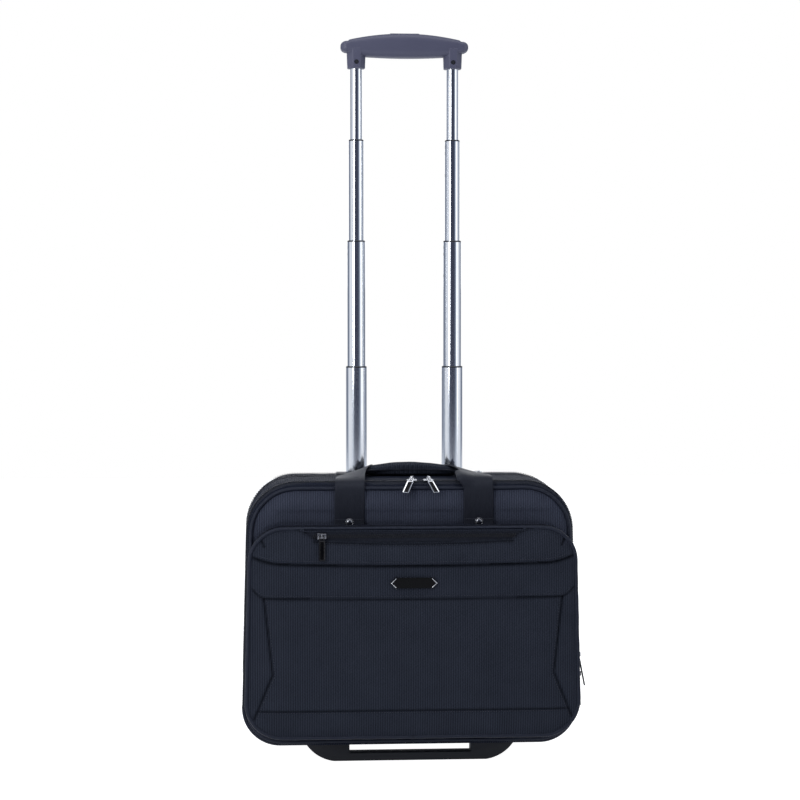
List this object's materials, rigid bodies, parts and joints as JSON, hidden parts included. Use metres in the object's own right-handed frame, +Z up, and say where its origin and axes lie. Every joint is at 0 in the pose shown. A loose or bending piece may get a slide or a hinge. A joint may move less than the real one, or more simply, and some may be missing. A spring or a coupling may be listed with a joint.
{
  "type": "pilot rolling flight case",
  "caption": "Soft-sided wheeled flight case with a telescopic trolley handle, zipped front section and pocket, webbing carry handle and a front foot.",
  "frame": {"origin": "on the floor under the middle of the case, between the front foot and the wheels", "axes": "+Z up, -Y towards the case's front, +X to the right as seen from the front"},
  "size_m": [0.4435, 0.2265, 0.96],
  "materials": {
    "fabric": "ribbed woven polyester, dark navy",
    "piping": "satin covered cord",
    "webbing": "satin webbing",
    "zipper": "coil zipper",
    "bright_metal": "bright plated",
    "black_pull": "satin black",
    "tube": "polished",
    "guide": "moulded black",
    "grip": "moulded grey-navy",
    "case_plastic": "moulded dark",
    "board": "pressed board",
    "steel": "plain steel",
    "tyre": "moulded",
    "hub": "moulded",
    "label": "gloss black"
  },
  "bodies": {
    "case_body": {"main_gusset": "fabric", "back_piping": "piping", "back_panel": "fabric", "rear_zipper": "zipper", "trolley_board": "board", "chassis": "case_plastic", "front_foot": "case_plastic", "foot_screws": "steel", "handle_bezel": "case_plastic", "tubes_five": "tube", "wheel_housings": "case_plastic", "axles": "steel"},
    "stage_four": {"tubes_four": "tube", "guides_four": "guide", "plugs_four": "guide"},
    "stage_three": {"tubes_three": "tube", "guides_three": "guide", "plugs_three": "guide"},
    "stage_two": {"tubes_two": "tube", "guides_two": "guide", "plugs_two": "guide"},
    "stage_one": {"tubes_one": "tube", "plugs_one": "guide", "grip_lower": "grip", "grip_upper": "grip", "grip_screws": "steel", "button_spring": "steel"},
    "release": {"push_button": "grip", "release_rods": "steel"},
    "wheel_left": {"tyre_left": "tyre", "hub_left": "hub"},
    "wheel_right": {"tyre_right": "tyre", "hub_right": "hub"},
    "front_section": {"front_gusset": "fabric", "front_piping": "piping", "front_panel": "fabric", "main_zipper": "zipper", "pocket_rear_gusset": "fabric", "pocket_zipper": "zipper", "strap_tabs": "webbing", "strap_rivets": "bright_metal"},
    "carry_handle": {"carry_strap": "webbing", "carry_sleeve": "webbing"},
    "pocket_cover": {"pocket_front_gusset": "fabric", "pocket_face": "fabric", "pocket_piping": "piping", "slash_zipper": "zipper", "label_plate": "label"},
    "zip_main_left": {"slider_main_left": "bright_metal"},
    "tab_main_left": {"pull_main_left": "bright_metal"},
    "zip_main_right": {"slider_main_right": "bright_metal"},
    "tab_main_right": {"pull_main_right": "bright_metal"},
    "zip_rear": {"slider_rear": "bright_metal"},
    "tab_rear": {"pull_rear": "bright_metal"},
    "zip_side_upper": {"slider_side_upper": "bright_metal"},
    "tab_side_upper": {"pull_side_upper": "black_pull"},
    "zip_side_lower": {"slider_side_lower": "bright_metal"},
    "tab_side_lower": {"pull_side_lower": "black_pull"},
    "zip_slash": {"slider_slash": "bright_metal"},
    "tab_slash": {"pull_slash": "black_pull"}
  },
  "joints": [
    {"name": "handle_stage_four", "type": "slide", "parent": "case_body", "child": "stage_four", "axis": [0, 0, -1], "range_m": [0, 0.1425]},
    {"name": "handle_stage_three", "type": "slide", "parent": "stage_four", "child": "stage_three", "axis": [0, 0, -1], "range_m": [0, 0.166]},
    {"name": "handle_stage_two", "type": "slide", "parent": "stage_three", "child": "stage_two", "axis": [0, 0, -1], "range_m": [0, 0.133]},
    {"name": "handle_stage_one", "type": "slide", "parent": "stage_two", "child": "stage_one", "axis": [0, 0, -1], "range_m": [0, 0.093]},
    {"name": "release_press", "type": "slide", "parent": "stage_one", "child": "release", "axis": [0, 0, -1], "range_m": [0, 0.004], "stiffness_N_per_m": 600, "springref_m": -0.004, "deforming": ["button_spring"]},
    {"name": "wheel_left_spin", "type": "hinge", "parent": "case_body", "child": "wheel_left", "pos_m": [-0.14, 0.085, 0.03], "axis": [1, 0, 0], "continuous": true},
    {"name": "wheel_right_spin", "type": "hinge", "parent": "case_body", "child": "wheel_right", "pos_m": [0.14, 0.085, 0.03], "axis": [1, 0, 0], "continuous": true},
    {"name": "front_section_open", "type": "hinge", "parent": "case_body", "child": "front_section", "pos_m": [0, -0.038, 0.024], "axis": [1, 0, 0], "range_deg": [0, 22]},
    {"name": "carry_handle_lift", "type": "hinge", "parent": "front_section", "child": "carry_handle", "pos_m": [0.004, -0.05105, 0.3701], "axis": [1, 0, 0], "range_deg": [0, 90]},
    {"name": "pocket_cover_open", "type": "hinge", "parent": "front_section", "child": "pocket_cover", "pos_m": [0, -0.072, 0.0435], "axis": [1, 0, 0], "range_deg": [0, 18]},
    {"name": "zip_main_left_slide", "type": "slide", "parent": "front_section", "child": "zip_main_left", "axis": [-1, 0, 0], "range_m": [0, 0.045]},
    {"name": "zip_main_right_slide", "type": "slide", "parent": "front_section", "child": "zip_main_right", "axis": [1, 0, 0], "range_m": [0, 0.03]},
    {"name": "zip_rear_slide", "type": "slide", "parent": "case_body", "child": "zip_rear", "axis": [1, 0, 0], "range_m": [0, 0.035]},
    {"name": "zip_side_upper_slide", "type": "slide", "parent": "front_section", "child": "zip_side_upper", "axis": [-0.0262, 0, 0.9997], "range_m": [0, 0.11]},
    {"name": "zip_side_lower_slide", "type": "slide", "parent": "front_section", "child": "zip_side_lower", "axis": [0.0262, 0, -0.9997], "range_m": [0, 0.015]},
    {"name": "zip_slash_slide", "type": "slide", "parent": "pocket_cover", "child": "zip_slash", "axis": [1, 0, 0], "range_m": [0, 0.23]},
    {"name": "tab_main_left_swing", "type": "hinge", "parent": "zip_main_left", "child": "tab_main_left", "pos_m": [0.0015, -0.045, 0.3707], "axis": [-0.866, 0.5, 0], "range_deg": [0, 120]},
    {"name": "tab_main_right_swing", "type": "hinge", "parent": "zip_main_right", "child": "tab_main_right", "pos_m": [0.023, -0.045, 0.3707], "axis": [-0.866, -0.5, 0], "range_deg": [0, 120]},
    {"name": "tab_rear_swing", "type": "hinge", "parent": "zip_rear", "child": "tab_rear", "pos_m": [0.0986, 0.05, 0.3707], "axis": [1, 0, 0], "range_deg": [0, 150]},
    {"name": "tab_side_upper_swing", "type": "hinge", "parent": "zip_side_upper", "child": "tab_side_upper", "pos_m": [0.2161, -0.072, 0.143], "axis": [0, -1, 0], "range_deg": [0, 90]},
    {"name": "tab_side_lower_swing", "type": "hinge", "parent": "zip_side_lower", "child": "tab_side_lower", "pos_m": [0.21675, -0.072, 0.118], "axis": [0, -1, 0], "range_deg": [0, 6]},
    {"name": "tab_slash_swing", "type": "hinge", "parent": "zip_slash", "child": "tab_slash", "pos_m": [-0.117, -0.1048, 0.302], "axis": [-1, 0, 0], "range_deg": [0, 100]}
  ]
}
